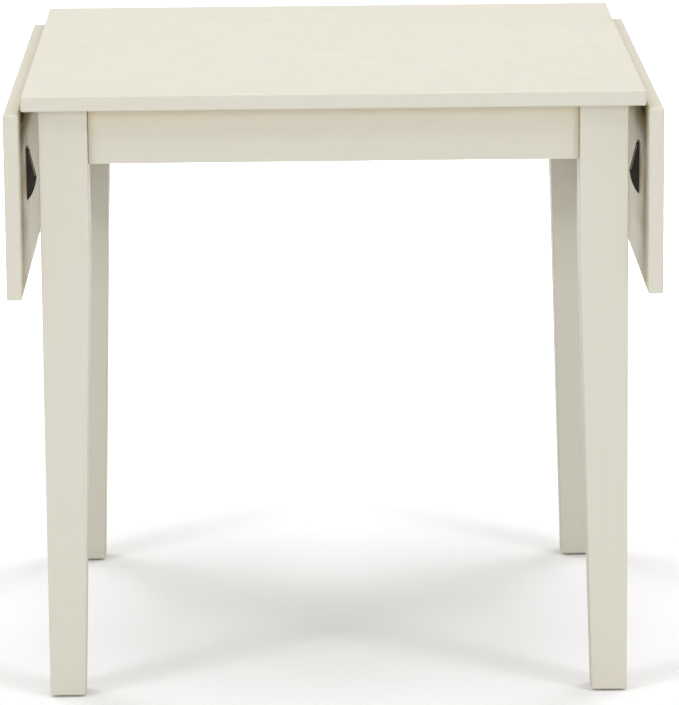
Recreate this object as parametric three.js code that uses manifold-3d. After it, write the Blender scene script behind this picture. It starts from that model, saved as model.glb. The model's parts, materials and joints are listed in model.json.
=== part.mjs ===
// A square dining table with two drop leaves, all sizes in millimetres.
//
// Frame: +Z up, X across the table from leaf to leaf, Y from front (-) to back (+).
// The origin is on the floor, under the centre of the fixed top. The leaves hang down.
//
// The leaves, their hinge flaps and their catches are drawn level, as when the leaf is up,
// around the hinge line. A group on the hinge line then turns them down to hang. The support
// arms are drawn level too, around their own pivots, and turned down in the same way.

import * as THREE from "three";
import { mergeVertices } from "three/addons/utils/BufferGeometryUtils.js";
import Module from "manifold-3d";

const wasm = await Module();
wasm.setup();

// ---- driving dimensions ------------------------------------------------------------------

const TABLE_HEIGHT = 765;
const TOP_SIDE = 762;
const BOARD_THICKNESS = 19;
const BOARD_EASE = 2.5;
const LEAF_DROP = 231;

const FIT_GAP = 0.3;            // air left between two pieces that touch on the real table
const JOIN_DEPTH = 0.5;         // how far a shape reaches into the one it is joined to
const CUT_LENGTH = 60;          // long enough to pass through any piece that is drilled

const LEG_SIZE = 60;
const LEG_FOOT_SIZE = 44;
const LEG_TAPER_START = 560;    // height where the two inner faces begin to slope
const LEG_CORNER_RADIUS = 2;
const LEG_FOOT_CHAMFER = 2;
const LEG_INSET_X = 20;         // from the top's side to the leg's outer face
const LEG_INSET_Y = 22;         // from the top's front or back end to the leg's outer face

const APRON_HEIGHT = 69.5;
const APRON_THICKNESS = 20;
const APRON_SETBACK = 8;        // from the leg's outer face to the apron's outer face
const APRON_EASE = 1;

const BLOCK_THICKNESS = 25;
const BLOCK_HEIGHT = 50;
const BLOCK_CLEAR_OF_LEG = 5;

const BOLT_RADIUS = 4;
const BOLT_HOLE_RADIUS = 4.4;
const BOLT_IN_LEG = 34;
const BOLT_HOLE_SPARE = 2;      // empty length at the bottom of the leg's hole
const BOLT_PAST_NUT = 4;
const NUT_RADIUS = 7.5;
const NUT_HEIGHT = 6.5;
const WASHER_RADIUS = 9;
const WASHER_THICKNESS = 1.6;

const GLIDE_RADIUS = 11;
const GLIDE_HEIGHT = 2;
const GLIDE_RIM = 0.6;

const HINGE_DROP = 2.5;         // from the underside of the boards to the hinge line
const HINGE_OVERHANG = 0.5;     // from a board's edge to the hinge line
const HINGE_LENGTH = 64;
const HINGE_REACH = 19.5;
const HINGE_KNUCKLES = 5;
const HINGE_FROM_END = 86;      // from the top's end to the middle of the outer hinges
const KNUCKLE_RADIUS = 2.2;
const KNUCKLE_BORE_RADIUS = 1.35;
const HINGE_PIN_RADIUS = 1.2;
const HINGE_SHEET = 1;

const CATCH_FROM_END = 160;     // from the top's end to the catch's upright web
const CATCH_START = 69;         // along the leaf, from the hinge line
const CATCH_PEAK = 105;
const CATCH_END = 134.5;
const CATCH_DEPTH = 10;         // from the hinge line's level down to the web's peak
const CATCH_BULGE = 5;          // how far the web's outer edge swells from a straight line
const CATCH_WEB = 2;
const CATCH_FLANGE = 22;
const CATCH_FLANGE_SHEET = 1.5;
const CATCH_SHOULDER = 3.4;     // height of the web's end nearest the hinge
const CATCH_ROOT = 1;           // height of its other end
const PEG_RADIUS = 2.5;
const PEG_DEPTH = 5;
const PEG_LENGTH = 5;

const ARM_THICKNESS = 3;
const ARM_WIDTH = 11;
const ARM_TIP_WIDTH = 14;
const ARM_TIP_DEPTH = 8;        // from the hinge line's level to the middle of the arm's tip
const ARM_BEND = 80;            // outward from the hinge line
const ARM_TIP_END = 116;
const ARM_GAP = 0.6;            // air between the arm and the steel on either side of it
const ARM_PIVOT_IN = 21;        // inward from the hinge line
const ARM_PIVOT_DOWN = 55;      // down from the hinge line
const NOTCH_PLAY_IN = 1.2;      // around the peg, on the side of the hinge
const NOTCH_PLAY_OUT = 0.8;
const NOTCH_PLAY_UNDER = 0.3;
const NOTCH_LIP = 2;            // upright part of the notch's inner wall
const NOTCH_LEAD = 1.8;         // run for each unit of rise where that wall slopes back

const PIVOT_RADIUS = 3;
const PIVOT_HOLE_RADIUS = 3.2;
const PIVOT_HEAD_RADIUS = 5;
const PIVOT_HEAD_THICKNESS = 1.5;
const PLATE_THICKNESS = 2;
const PLATE_WIDTH = 34;
const PLATE_ABOVE_PIVOT = 42;
const PLATE_BELOW_PIVOT = 8.5;
const EAR_RADIUS = 6;

// ---- places worked out from them ---------------------------------------------------------

const HALF = TOP_SIDE / 2;
const UNDERSIDE = TABLE_HEIGHT - BOARD_THICKNESS;
const HINGE_X = HALF + HINGE_OVERHANG;
const HINGE_Z = UNDERSIDE - HINGE_DROP;
const HINGE_YS = { front: -HALF + HINGE_FROM_END, middle: 0, rear: HALF - HINGE_FROM_END };
const CATCH_Y = HALF - CATCH_FROM_END;
const LEG_OUTER_X = HALF - LEG_INSET_X;
const LEG_OUTER_Y = HALF - LEG_INSET_Y;
const APRON_OUTER_X = LEG_OUTER_X - APRON_SETBACK;
const APRON_OUTER_Y = LEG_OUTER_Y - APRON_SETBACK;
const APRON_MID_Z = UNDERSIDE - FIT_GAP - APRON_HEIGHT / 2;
const LEG_FOOT_Z = GLIDE_HEIGHT + FIT_GAP;
const ARM_SLOPE = Math.atan2(ARM_PIVOT_DOWN - ARM_TIP_DEPTH, ARM_BEND + ARM_PIVOT_IN);
const QUARTER_TURN = Math.PI / 2;

const SIDES = { left: -1, right: 1 };
const ENDS = { front: -1, rear: 1 };

// ---- materials ---------------------------------------------------------------------------

const material = (color, roughness, metalness) =>
  new THREE.MeshStandardMaterial({ color, roughness, metalness });

const creamPaint = () => material(0xe4e2d5, 0.45, 0);
const bareWood = () => material(0xc9a878, 0.7, 0);
const blackSteel = () => material(0x24211e, 0.45, 0.6);
const hingeSteel = () => material(0x4a3f33, 0.4, 0.8);
const zincSteel = () => material(0xb4b4b0, 0.35, 0.9);
const greyPlastic = () => material(0x8f8d88, 0.6, 0);

// ---- shape helpers -----------------------------------------------------------------------

const table = new THREE.Group();

function add(parent, name, geometry, finish, place = {}) {
  const mesh = new THREE.Mesh(geometry, finish);
  mesh.name = name;
  mesh.position.set(...(place.at ?? [0, 0, 0]));
  mesh.rotation.set(...(place.turn ?? [0, 0, 0]));
  parent.add(mesh);
  return mesh;
}

function toSolid(geometry) {
  const bare = geometry.index ? geometry.toNonIndexed() : geometry.clone();
  bare.deleteAttribute("normal");
  bare.deleteAttribute("uv");
  const merged = mergeVertices(bare, 1e-4);
  return new wasm.Manifold(new wasm.Mesh({
    numProp: 3,
    vertProperties: new Float32Array(merged.attributes.position.array),
    triVerts: new Uint32Array(merged.index.array),
  }));
}

function toGeometry(solid) {
  const mesh = solid.getMesh();
  const geometry = new THREE.BufferGeometry();
  geometry.setAttribute("position", new THREE.BufferAttribute(mesh.vertProperties, 3));
  geometry.setIndex(new THREE.BufferAttribute(mesh.triVerts, 1));
  geometry.computeVertexNormals();
  return geometry;
}

function join(...geometries) {
  return toGeometry(geometries.map(toSolid).reduce((whole, next) => whole.add(next)));
}

function cut(geometry, ...cutters) {
  const whole = toSolid(geometry);
  return toGeometry(cutters.map(toSolid).reduce((left, next) => left.subtract(next), whole));
}

// A box given by its lowest and highest corners.
function boxBetween(low, high) {
  const size = low.map((value, i) => Math.abs(high[i] - value));
  const middle = low.map((value, i) => (high[i] + value) / 2);
  return new THREE.BoxGeometry(...size).translate(...middle);
}

// A cylinder along Y, from one Y to another.
function rodAlongY(radius, fromY, toY, segments = 16) {
  const length = Math.abs(toY - fromY);
  return new THREE.CylinderGeometry(radius, radius, length, segments).translate(0, (fromY + toY) / 2, 0);
}

// A cylinder along X, from one X to another.
function rodAlongX(radius, fromX, toX, segments = 16) {
  const length = Math.abs(toX - fromX);
  return new THREE.CylinderGeometry(radius, radius, length, segments)
    .rotateZ(QUARTER_TURN).translate((fromX + toX) / 2, 0, 0);
}

// A shape drawn in X and Z, given a thickness from one Y to another.
function plateAcrossY(shape, fromY, toY) {
  const depth = Math.abs(toY - fromY);
  return new THREE.ExtrudeGeometry(shape, { depth, bevelEnabled: false, curveSegments: 12 })
    .rotateX(QUARTER_TURN).translate(0, Math.max(fromY, toY), 0);
}

function outline(points) {
  return new THREE.Shape(points.map(([x, y]) => new THREE.Vector2(x, y)));
}

// A board lying flat with eased edges, centred on the origin.
function easedBoard(width, depth, thickness, ease) {
  const rectangle = outline([
    [-width / 2, -depth / 2], [width / 2, -depth / 2], [width / 2, depth / 2], [-width / 2, depth / 2],
  ]);
  return new THREE.ExtrudeGeometry(rectangle, {
    depth: thickness - 2 * ease,
    bevelThickness: ease,
    bevelSize: ease,
    bevelOffset: -ease,
    bevelSegments: 2,
  }).translate(0, 0, ease - thickness / 2);
}

// A square with rounded corners, one corner at the origin and the rest on the - sides.
function roundedSquare(size, radius, steps = 3) {
  const points = [];
  const near = -radius;
  const far = radius - size;
  const centres = [[near, near], [far, near], [far, far], [near, far]];
  centres.forEach(([x, y], corner) => {
    for (let step = 0; step <= steps; step += 1) {
      const angle = (corner + step / steps) * QUARTER_TURN;
      points.push([x + radius * Math.cos(angle), y + radius * Math.sin(angle)]);
    }
  });
  return points;
}

// A closed solid through level outlines that all have the same number of points.
function loft(levels) {
  const count = levels[0].points.length;
  const positions = levels.flatMap(({ z, points }) => points.flatMap(([x, y]) => [x, y, z]));
  const faces = [];
  for (let level = 0; level + 1 < levels.length; level += 1) {
    for (let i = 0; i < count; i += 1) {
      const a = level * count + i;
      const b = level * count + ((i + 1) % count);
      faces.push(a, b, b + count, a, b + count, a + count);
    }
  }
  const last = (levels.length - 1) * count;
  for (let i = 1; i + 1 < count; i += 1) {
    faces.push(0, i + 1, i);
    faces.push(last, last + i, last + i + 1);
  }
  const geometry = new THREE.BufferGeometry();
  geometry.setAttribute("position", new THREE.Float32BufferAttribute(positions, 3));
  geometry.setIndex(faces);
  geometry.computeVertexNormals();
  return geometry;
}

// ---- top ---------------------------------------------------------------------------------

function makeTop() {
  const board = easedBoard(TOP_SIDE, TOP_SIDE, BOARD_THICKNESS, BOARD_EASE);
  add(table, "tabletop", board, creamPaint(), { at: [0, 0, TABLE_HEIGHT - BOARD_THICKNESS / 2] });
}

// ---- legs, aprons and the joints between them --------------------------------------------

// The bolt's line runs level at 45 degrees through the leg's inner vertical edge.
function boltPlace(sideSign, endSign) {
  return {
    at: [sideSign * (LEG_OUTER_X - LEG_SIZE), endSign * (LEG_OUTER_Y - LEG_SIZE), APRON_MID_Z],
    turn: [0, 0, Math.atan2(endSign, sideSign)],
  };
}

function placed(geometry, { at, turn }) {
  return geometry.rotateZ(turn[2]).translate(...at);
}

function makeLeg(name, sideSign, endSign) {
  const foot = LEG_FOOT_SIZE;
  const levels = [
    [LEG_FOOT_Z, foot - 2 * LEG_FOOT_CHAMFER, LEG_FOOT_CHAMFER],
    [LEG_FOOT_Z + LEG_FOOT_CHAMFER, foot, 0],
    [LEG_TAPER_START, LEG_SIZE, 0],
    [UNDERSIDE - FIT_GAP, LEG_SIZE, 0],
  ].map(([z, size, inset]) => ({
    z,
    points: roundedSquare(size, LEG_CORNER_RADIUS).map(([x, y]) => [x - inset, y - inset]),
  }));
  const quarterTurns = { "1,1": 0, "-1,1": 1, "-1,-1": 2, "1,-1": 3 }[`${sideSign},${endSign}`];
  const post = loft(levels)
    .rotateZ(quarterTurns * QUARTER_TURN)
    .translate(sideSign * LEG_OUTER_X, endSign * LEG_OUTER_Y, 0);
  const hole = rodAlongX(BOLT_HOLE_RADIUS, -CUT_LENGTH, BOLT_IN_LEG + BOLT_HOLE_SPARE);
  add(table, name, cut(post, placed(hole, boltPlace(sideSign, endSign))), creamPaint());
}

function makeGlide(name, sideSign, endSign) {
  const profile = [
    [0, 0], [GLIDE_RADIUS - GLIDE_RIM, 0], [GLIDE_RADIUS, GLIDE_RIM], [GLIDE_RADIUS, GLIDE_HEIGHT],
    [0, GLIDE_HEIGHT],
  ].map(([radius, height]) => new THREE.Vector2(radius, height));
  const disc = new THREE.LatheGeometry(profile, 24).rotateX(QUARTER_TURN);
  const footCentre = LEG_FOOT_SIZE / 2;
  add(table, name, disc, greyPlastic(), {
    at: [sideSign * (LEG_OUTER_X - footCentre), endSign * (LEG_OUTER_Y - footCentre), 0],
  });
}

// The block's plan crosses the corner at 45 degrees and meets both aprons' inner faces.
function makeCornerBlock(name, sideSign, endSign) {
  const wallX = APRON_OUTER_X - APRON_THICKNESS - FIT_GAP;
  const wallY = APRON_OUTER_Y - APRON_THICKNESS - FIT_GAP;
  const legCorner = LEG_OUTER_X - LEG_SIZE + LEG_OUTER_Y - LEG_SIZE;
  const outerLine = legCorner - BLOCK_CLEAR_OF_LEG * Math.SQRT2;
  const innerLine = outerLine - BLOCK_THICKNESS * Math.SQRT2;
  const plan = outline([
    [wallX, outerLine - wallX],
    [outerLine - wallY, wallY],
    [innerLine - wallY, wallY],
    [wallX, innerLine - wallX],
  ].map(([x, y]) => [sideSign * x, endSign * y]));
  const block = new THREE.ExtrudeGeometry(plan, { depth: BLOCK_HEIGHT, bevelEnabled: false })
    .translate(0, 0, APRON_MID_Z - BLOCK_HEIGHT / 2);
  const hole = rodAlongX(BOLT_HOLE_RADIUS, -CUT_LENGTH, CUT_LENGTH);
  add(table, name, cut(block, placed(hole, boltPlace(sideSign, endSign))), bareWood());
}

function makeLegBolt(name, sideSign, endSign) {
  const blockFace = -(BLOCK_CLEAR_OF_LEG + BLOCK_THICKNESS + FIT_GAP);
  const nutFace = blockFace - WASHER_THICKNESS;
  const shankEnd = nutFace - NUT_HEIGHT - BOLT_PAST_NUT;
  const bolt = join(
    rodAlongX(BOLT_RADIUS, shankEnd, BOLT_IN_LEG),
    rodAlongX(WASHER_RADIUS, nutFace, blockFace),
    rodAlongX(NUT_RADIUS, nutFace - NUT_HEIGHT, nutFace, 6),
  );
  add(table, name, bolt, zincSteel(), boltPlace(sideSign, endSign));
}

function makeAprons() {
  const lengthX = 2 * (LEG_OUTER_X - LEG_SIZE - FIT_GAP);
  const lengthY = 2 * (LEG_OUTER_Y - LEG_SIZE - FIT_GAP);
  const middleX = APRON_OUTER_X - APRON_THICKNESS / 2;
  const middleY = APRON_OUTER_Y - APRON_THICKNESS / 2;
  for (const [end, sign] of Object.entries(ENDS)) {
    const board = easedBoard(lengthX, APRON_HEIGHT, APRON_THICKNESS, APRON_EASE).rotateX(QUARTER_TURN);
    add(table, `apron_${end}`, board, creamPaint(), { at: [0, sign * middleY, APRON_MID_Z] });
  }
  for (const [side, sign] of Object.entries(SIDES)) {
    const board = easedBoard(lengthY, APRON_HEIGHT, APRON_THICKNESS, APRON_EASE)
      .rotateX(QUARTER_TURN).rotateZ(QUARTER_TURN);
    add(table, `apron_${side}`, board, creamPaint(), { at: [sign * middleX, 0, APRON_MID_Z] });
  }
}

function makeFrame() {
  makeAprons();
  for (const [side, sideSign] of Object.entries(SIDES)) {
    for (const [end, endSign] of Object.entries(ENDS)) {
      const corner = `${end}_${side}`;
      makeLeg(`leg_${corner}`, sideSign, endSign);
      makeGlide(`foot_glide_${corner}`, sideSign, endSign);
      makeCornerBlock(`corner_block_${corner}`, sideSign, endSign);
      makeLegBolt(`leg_bolt_${corner}`, sideSign, endSign);
    }
  }
}

// ---- hinges ------------------------------------------------------------------------------

// One flap of a butt hinge, drawn level around the pin, reaching out along +X or -X.
// Its knuckles are every second one of the five: the outer flap shares the row with the inner.
function hingeFlap(direction, firstKnuckle) {
  const pitch = HINGE_LENGTH / HINGE_KNUCKLES;
  const air = FIT_GAP / 2;
  const low = KNUCKLE_RADIUS - HINGE_SHEET;
  const plateStart = direction * (KNUCKLE_RADIUS + FIT_GAP);
  const pieces = [
    boxBetween(
      [plateStart, -HINGE_LENGTH / 2, low],
      [direction * HINGE_REACH, HINGE_LENGTH / 2, KNUCKLE_RADIUS],
    ),
  ];
  const bores = [];
  for (let knuckle = firstKnuckle; knuckle < HINGE_KNUCKLES; knuckle += 2) {
    const from = -HINGE_LENGTH / 2 + knuckle * pitch + air;
    const to = from + pitch - 2 * air;
    pieces.push(rodAlongY(KNUCKLE_RADIUS, from, to));
    pieces.push(boxBetween([0, from, low], [plateStart + direction * JOIN_DEPTH, to, KNUCKLE_RADIUS]));
    bores.push(rodAlongY(KNUCKLE_BORE_RADIUS, from - JOIN_DEPTH, to + JOIN_DEPTH));
  }
  return cut(join(...pieces), ...bores);
}

function makeFixedHingeParts(side, sideSign) {
  for (const [place, y] of Object.entries(HINGE_YS)) {
    const at = [sideSign * HINGE_X, y, HINGE_Z];
    add(table, `hinge_top_flap_${side}_${place}`, hingeFlap(-sideSign, 0), hingeSteel(), { at });
    const pin = rodAlongY(HINGE_PIN_RADIUS, -HINGE_LENGTH / 2, HINGE_LENGTH / 2);
    add(table, `hinge_pin_${side}_${place}`, pin, hingeSteel(), { at });
  }
}

// ---- leaves with their flaps and catches -------------------------------------------------

// The catch's upright web: a slope away from the hinge, a peak, and a rounded outer edge.
function catchWebShape(sideSign) {
  const base = KNUCKLE_RADIUS;
  const web = new THREE.Shape();
  web.moveTo(sideSign * CATCH_START, base);
  web.lineTo(sideSign * CATCH_START, base - CATCH_SHOULDER);
  web.lineTo(sideSign * CATCH_PEAK, -CATCH_DEPTH);
  web.quadraticCurveTo(
    sideSign * (CATCH_END - 2 * CATCH_BULGE), -CATCH_DEPTH + CATCH_BULGE / 2,
    sideSign * CATCH_END, base - CATCH_ROOT,
  );
  web.lineTo(sideSign * CATCH_END, base);
  return web;
}

// Bent steel with a peg: a flange on the leaf, a web below it, and the peg on the inner side.
function makeCatch(leaf, name, sideSign, endSign) {
  const inward = -endSign;
  const webOuter = -inward * CATCH_WEB / 2;
  const webInner = inward * CATCH_WEB / 2;
  const web = plateAcrossY(catchWebShape(sideSign), webOuter, webInner);
  const flange = boxBetween(
    [sideSign * CATCH_START, webOuter, KNUCKLE_RADIUS - CATCH_FLANGE_SHEET],
    [sideSign * CATCH_END, webOuter + inward * CATCH_FLANGE, KNUCKLE_RADIUS],
  );
  const peg = rodAlongY(PEG_RADIUS, webOuter + inward * JOIN_DEPTH, webInner + inward * PEG_LENGTH)
    .translate(sideSign * CATCH_PEAK, 0, -PEG_DEPTH);
  add(leaf, name, join(web, flange, peg), blackSteel(), { at: [0, endSign * CATCH_Y, 0] });
}

function makeLeaf(side, sideSign) {
  const leaf = new THREE.Group();
  leaf.position.set(sideSign * HINGE_X, 0, HINGE_Z);
  leaf.rotation.y = sideSign * QUARTER_TURN;
  table.add(leaf);
  const board = easedBoard(LEAF_DROP, TOP_SIDE, BOARD_THICKNESS, BOARD_EASE);
  add(leaf, `leaf_${side}`, board, creamPaint(), {
    at: [sideSign * (HINGE_OVERHANG + LEAF_DROP / 2), 0, HINGE_DROP + BOARD_THICKNESS / 2],
  });
  for (const [place, y] of Object.entries(HINGE_YS)) {
    add(leaf, `hinge_leaf_flap_${side}_${place}`, hingeFlap(sideSign, 1), hingeSteel(), { at: [0, y, 0] });
  }
  for (const [end, endSign] of Object.entries(ENDS)) {
    makeCatch(leaf, `leaf_catch_${side}_${end}`, sideSign, endSign);
  }
}

// ---- support arms ------------------------------------------------------------------------

// A bar with round ends between two points in X and Z.
function roundBarShape(from, to, width) {
  const angle = Math.atan2(to[1] - from[1], to[0] - from[0]);
  const bar = new THREE.Shape();
  bar.absarc(from[0], from[1], width / 2, angle + QUARTER_TURN, angle + 3 * QUARTER_TURN);
  bar.absarc(to[0], to[1], width / 2, angle - QUARTER_TURN, angle + QUARTER_TURN);
  return bar;
}

// The notch is open above. Its inner wall is upright low down, then slopes back for the peg.
function notchShape(sideSign) {
  const pegX = ARM_PIVOT_IN + CATCH_PEAK;
  const pegZ = ARM_PIVOT_DOWN - PEG_DEPTH;
  const floor = pegZ - PEG_RADIUS - NOTCH_PLAY_UNDER;
  const inner = pegX - PEG_RADIUS - NOTCH_PLAY_IN;
  const outer = pegX + PEG_RADIUS + NOTCH_PLAY_OUT;
  const above = ARM_TIP_WIDTH;
  return outline([
    [inner, floor], [outer, floor], [outer, floor + above],
    [inner - NOTCH_LEAD * (above - NOTCH_LIP), floor + above], [inner, floor + NOTCH_LIP],
  ].map(([x, z]) => [sideSign * x, z]));
}

function armShapePoints(sideSign) {
  const bend = [sideSign * (ARM_PIVOT_IN + ARM_BEND), ARM_PIVOT_DOWN - ARM_TIP_DEPTH];
  const tipEnd = ARM_PIVOT_IN + ARM_TIP_END - ARM_TIP_WIDTH / 2;
  return { pivot: [0, 0], bend, tip: [sideSign * tipEnd, bend[1]] };
}

function makeArm(name, sideSign, endSign) {
  const inward = -endSign;
  const outerFace = inward * (CATCH_WEB / 2 + ARM_GAP);
  const innerFace = outerFace + inward * ARM_THICKNESS;
  const { pivot, bend, tip } = armShapePoints(sideSign);
  const arm = cut(
    join(
      plateAcrossY(roundBarShape(pivot, bend, ARM_WIDTH), outerFace, innerFace),
      plateAcrossY(roundBarShape(bend, tip, ARM_TIP_WIDTH), outerFace, innerFace),
    ),
    rodAlongY(PIVOT_HOLE_RADIUS, -CUT_LENGTH, CUT_LENGTH),
    plateAcrossY(notchShape(sideSign), -CUT_LENGTH, CUT_LENGTH),
  );
  add(table, name, arm, blackSteel(), {
    at: [sideSign * (HINGE_X - ARM_PIVOT_IN), endSign * CATCH_Y, HINGE_Z - ARM_PIVOT_DOWN],
    turn: [0, sideSign * (QUARTER_TURN + ARM_SLOPE), 0],
  });
}

// A bent plate: screwed flat to the apron, with an ear that stands out and holds the pivot.
function makeArmBracket(name, sideSign, endSign) {
  const inward = -endSign;
  const earOuter = inward * (CATCH_WEB / 2 + 2 * ARM_GAP + ARM_THICKNESS);
  const earInner = earOuter + inward * PLATE_THICKNESS;
  const apronFace = APRON_OUTER_X + FIT_GAP - (HINGE_X - ARM_PIVOT_IN);
  const plate = boxBetween(
    [sideSign * apronFace, earOuter, -PLATE_BELOW_PIVOT],
    [sideSign * (apronFace + PLATE_THICKNESS), earOuter + inward * PLATE_WIDTH, PLATE_ABOVE_PIVOT],
  );
  const ear = new THREE.Shape();
  ear.absarc(0, 0, EAR_RADIUS, 0, 2 * Math.PI);
  const earRoot = boxBetween(
    [sideSign * apronFace, earOuter, -EAR_RADIUS],
    [0, earInner, EAR_RADIUS],
  );
  const bracket = cut(
    join(plate, plateAcrossY(ear, earOuter, earInner), earRoot),
    rodAlongY(PIVOT_HOLE_RADIUS, -CUT_LENGTH, CUT_LENGTH),
  );
  add(table, name, bracket, blackSteel(), {
    at: [sideSign * (HINGE_X - ARM_PIVOT_IN), endSign * CATCH_Y, HINGE_Z - ARM_PIVOT_DOWN],
  });
}

function makeArmPivot(name, sideSign, endSign) {
  const inward = -endSign;
  const armFace = inward * (CATCH_WEB / 2 + ARM_GAP - FIT_GAP);
  const earFace = inward * (CATCH_WEB / 2 + 2 * ARM_GAP + ARM_THICKNESS + PLATE_THICKNESS + FIT_GAP);
  const head = inward * PIVOT_HEAD_THICKNESS;
  const rivet = join(
    rodAlongY(PIVOT_RADIUS, armFace - head / 2, earFace + head / 2),
    rodAlongY(PIVOT_HEAD_RADIUS, armFace - head, armFace),
    rodAlongY(PIVOT_HEAD_RADIUS, earFace, earFace + head),
  );
  add(table, name, rivet, zincSteel(), {
    at: [sideSign * (HINGE_X - ARM_PIVOT_IN), endSign * CATCH_Y, HINGE_Z - ARM_PIVOT_DOWN],
  });
}

// ---- the table ---------------------------------------------------------------------------

makeTop();
makeFrame();
for (const [side, sideSign] of Object.entries(SIDES)) {
  makeFixedHingeParts(side, sideSign);
  makeLeaf(side, sideSign);
  for (const [end, endSign] of Object.entries(ENDS)) {
    makeArmBracket(`arm_bracket_${side}_${end}`, sideSign, endSign);
    makeArmPivot(`arm_pivot_${side}_${end}`, sideSign, endSign);
    makeArm(`support_arm_${side}_${end}`, sideSign, endSign);
  }
}

export default table;
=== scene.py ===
"""Drop leaf table: the looks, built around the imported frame.

Every CAD node is replaced by a finer mesh of the same size in the same place. Each kind of fitting is
drawn once, in millimetres around its own origin, and copied to its places by a matrix. Those places come
from the frame: from the nodes' boxes and from the joints. All pieces are drawn as they are at rest, with
the leaves hanging.
"""

import json
import math

import bmesh
import bpy
from mathutils import Matrix, Vector


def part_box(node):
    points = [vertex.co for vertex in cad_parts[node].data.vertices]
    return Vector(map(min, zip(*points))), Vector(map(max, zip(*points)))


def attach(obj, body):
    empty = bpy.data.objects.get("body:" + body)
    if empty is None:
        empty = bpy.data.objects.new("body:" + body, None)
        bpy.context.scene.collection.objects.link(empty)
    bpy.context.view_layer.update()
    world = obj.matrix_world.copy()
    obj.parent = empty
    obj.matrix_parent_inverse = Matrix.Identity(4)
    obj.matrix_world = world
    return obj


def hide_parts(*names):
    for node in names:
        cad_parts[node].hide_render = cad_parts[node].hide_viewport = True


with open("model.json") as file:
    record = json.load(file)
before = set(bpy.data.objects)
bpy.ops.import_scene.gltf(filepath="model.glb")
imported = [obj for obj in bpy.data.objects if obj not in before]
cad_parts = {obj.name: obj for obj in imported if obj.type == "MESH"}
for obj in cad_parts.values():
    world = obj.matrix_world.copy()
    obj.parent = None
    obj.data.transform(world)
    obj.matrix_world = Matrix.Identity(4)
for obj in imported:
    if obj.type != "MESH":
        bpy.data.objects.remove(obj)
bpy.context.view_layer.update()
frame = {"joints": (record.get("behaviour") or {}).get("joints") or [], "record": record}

SIDES = {"left": -1, "right": 1}
ENDS = {"front": -1, "rear": 1}
HINGE_PLACES = ("front", "middle", "rear")
METRES_PER_MM = 0.001
SMOOTH_DEG = 35             # faces that meet at less than this are shaded as one

# ---- driving dimensions, in millimetres --------------------------------------------------

BOARD_EASE = 2.5            # rounding along a board's long edges
BOARD_CORNER = 3.0          # rounding of its four short corners
APRON_EASE = 1.2

LEG_FOOT_SIZE = 44
LEG_TAPER_START = 560
LEG_CORNER_RADIUS = 2
LEG_FOOT_CHAMFER = 2
LEG_TOP_EASE = 0.5

KNUCKLE_RADIUS = 2.2
KNUCKLE_ROLL_DEG = 285      # how far a tongue of the sheet is rolled around the pin
KNUCKLE_ROLL_STEPS = 19
HINGE_SHEET = 1.0
HINGE_KNUCKLES = 5
HINGE_AIR = 0.3             # between one knuckle and the next
HINGE_CORNER = 3.5          # rounding of a flap's far corners
HINGE_PIN_RADIUS = 1.15
HINGE_PIN_TIP = 0.8         # radius of the pin's flat ends
HINGE_PIN_CHAMFER = 0.4
HINGE_SINK = ((1.2, -0.8), (3.1, 1.05), (3.1, 5))    # a screw's countersink: radius, height
HINGE_SCREW_RADIUS = 2.9
HINGE_SCREW_FROM_END = 9
HINGE_SCREW_REACH = 12.5    # from the hinge line

CATCH_START = 69            # along the leaf, from the hinge line
CATCH_PEAK = 105
CATCH_END = 134.5
CATCH_DEPTH = 10            # from the hinge line's level to the web's peak
CATCH_SHOULDER = 3.4        # height of the web's end nearest the hinge
CATCH_ROOT = 1              # height of its other end
CATCH_BULGE = 5             # how far the web's outer edge swells from a straight line
CATCH_WEB = 2
CATCH_FLANGE = 22
CATCH_FLANGE_SHEET = 1.5
CATCH_FLANGE_CORNER = 4
CATCH_EASE = 0.3
CATCH_BEND = 1.4            # radius in the corner between web and flange
CATCH_BEND_START = 78       # along the leaf, from the hinge line
CATCH_BEND_END = 131.5
CATCH_SCREWS_AT = (87, 105, 123)
CATCH_SCREWS_IN = 12        # inward from the web
BEAD_RADIUS = 0.9
BEAD_FROM_EDGE = 1.5
BEAD_FROM_START = 4         # along the slope
BEAD_FROM_PEAK = 2
PEG_RADIUS = 2.5
PEG_DEPTH = 5
PEG_LENGTH = 5              # beyond the web
PEG_EASE = 0.5

ARM_THICKNESS = 3
ARM_WIDTH = 11
ARM_TIP_WIDTH = 14
ARM_TIP_DEPTH = 8           # under the hinge line's level, when the leaf is up
ARM_BEND = 80               # outward from the hinge line
ARM_TIP_END = 116
ARM_GAP = 0.6               # between the arm and its neighbours
ARM_PIVOT_IN = 21           # inward from the hinge line
ARM_PIVOT_DOWN = 55
NOTCH_PLAY_IN = 1.2
NOTCH_PLAY_OUT = 0.8
NOTCH_PLAY_UNDER = 0.3
NOTCH_LIP = 2               # height of the upright part of the inner wall
NOTCH_LEAD = 1.8            # how far the rest slopes back for each mm of height

PIVOT_RADIUS = 3
PIVOT_HEAD_RADIUS = 5
PIVOT_HEAD_THICKNESS = 1.5
PLATE_THICKNESS = 2         # of the bracket's sheet
PLATE_CORNER = 3
EAR_RADIUS = 6
EAR_FLARE = 2.5             # how much wider the ear is where it leaves the plate
EAR_ROUND_DEG = 75          # how far its round end runs to each side
EAR_IN_PLATE = 0.6          # how far behind the ear's root the plate's back lies
EAR_EASE = 0.25
BRACKET_SCREW_EDGE = 8      # from the plate's far edge and from its top
BRACKET_SCREW_PITCH = 16
BRACKET_SCREW_LOW = 7       # the lowest one, from the plate's foot
SUPPORT_SCREW_RADIUS = 3.2

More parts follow.
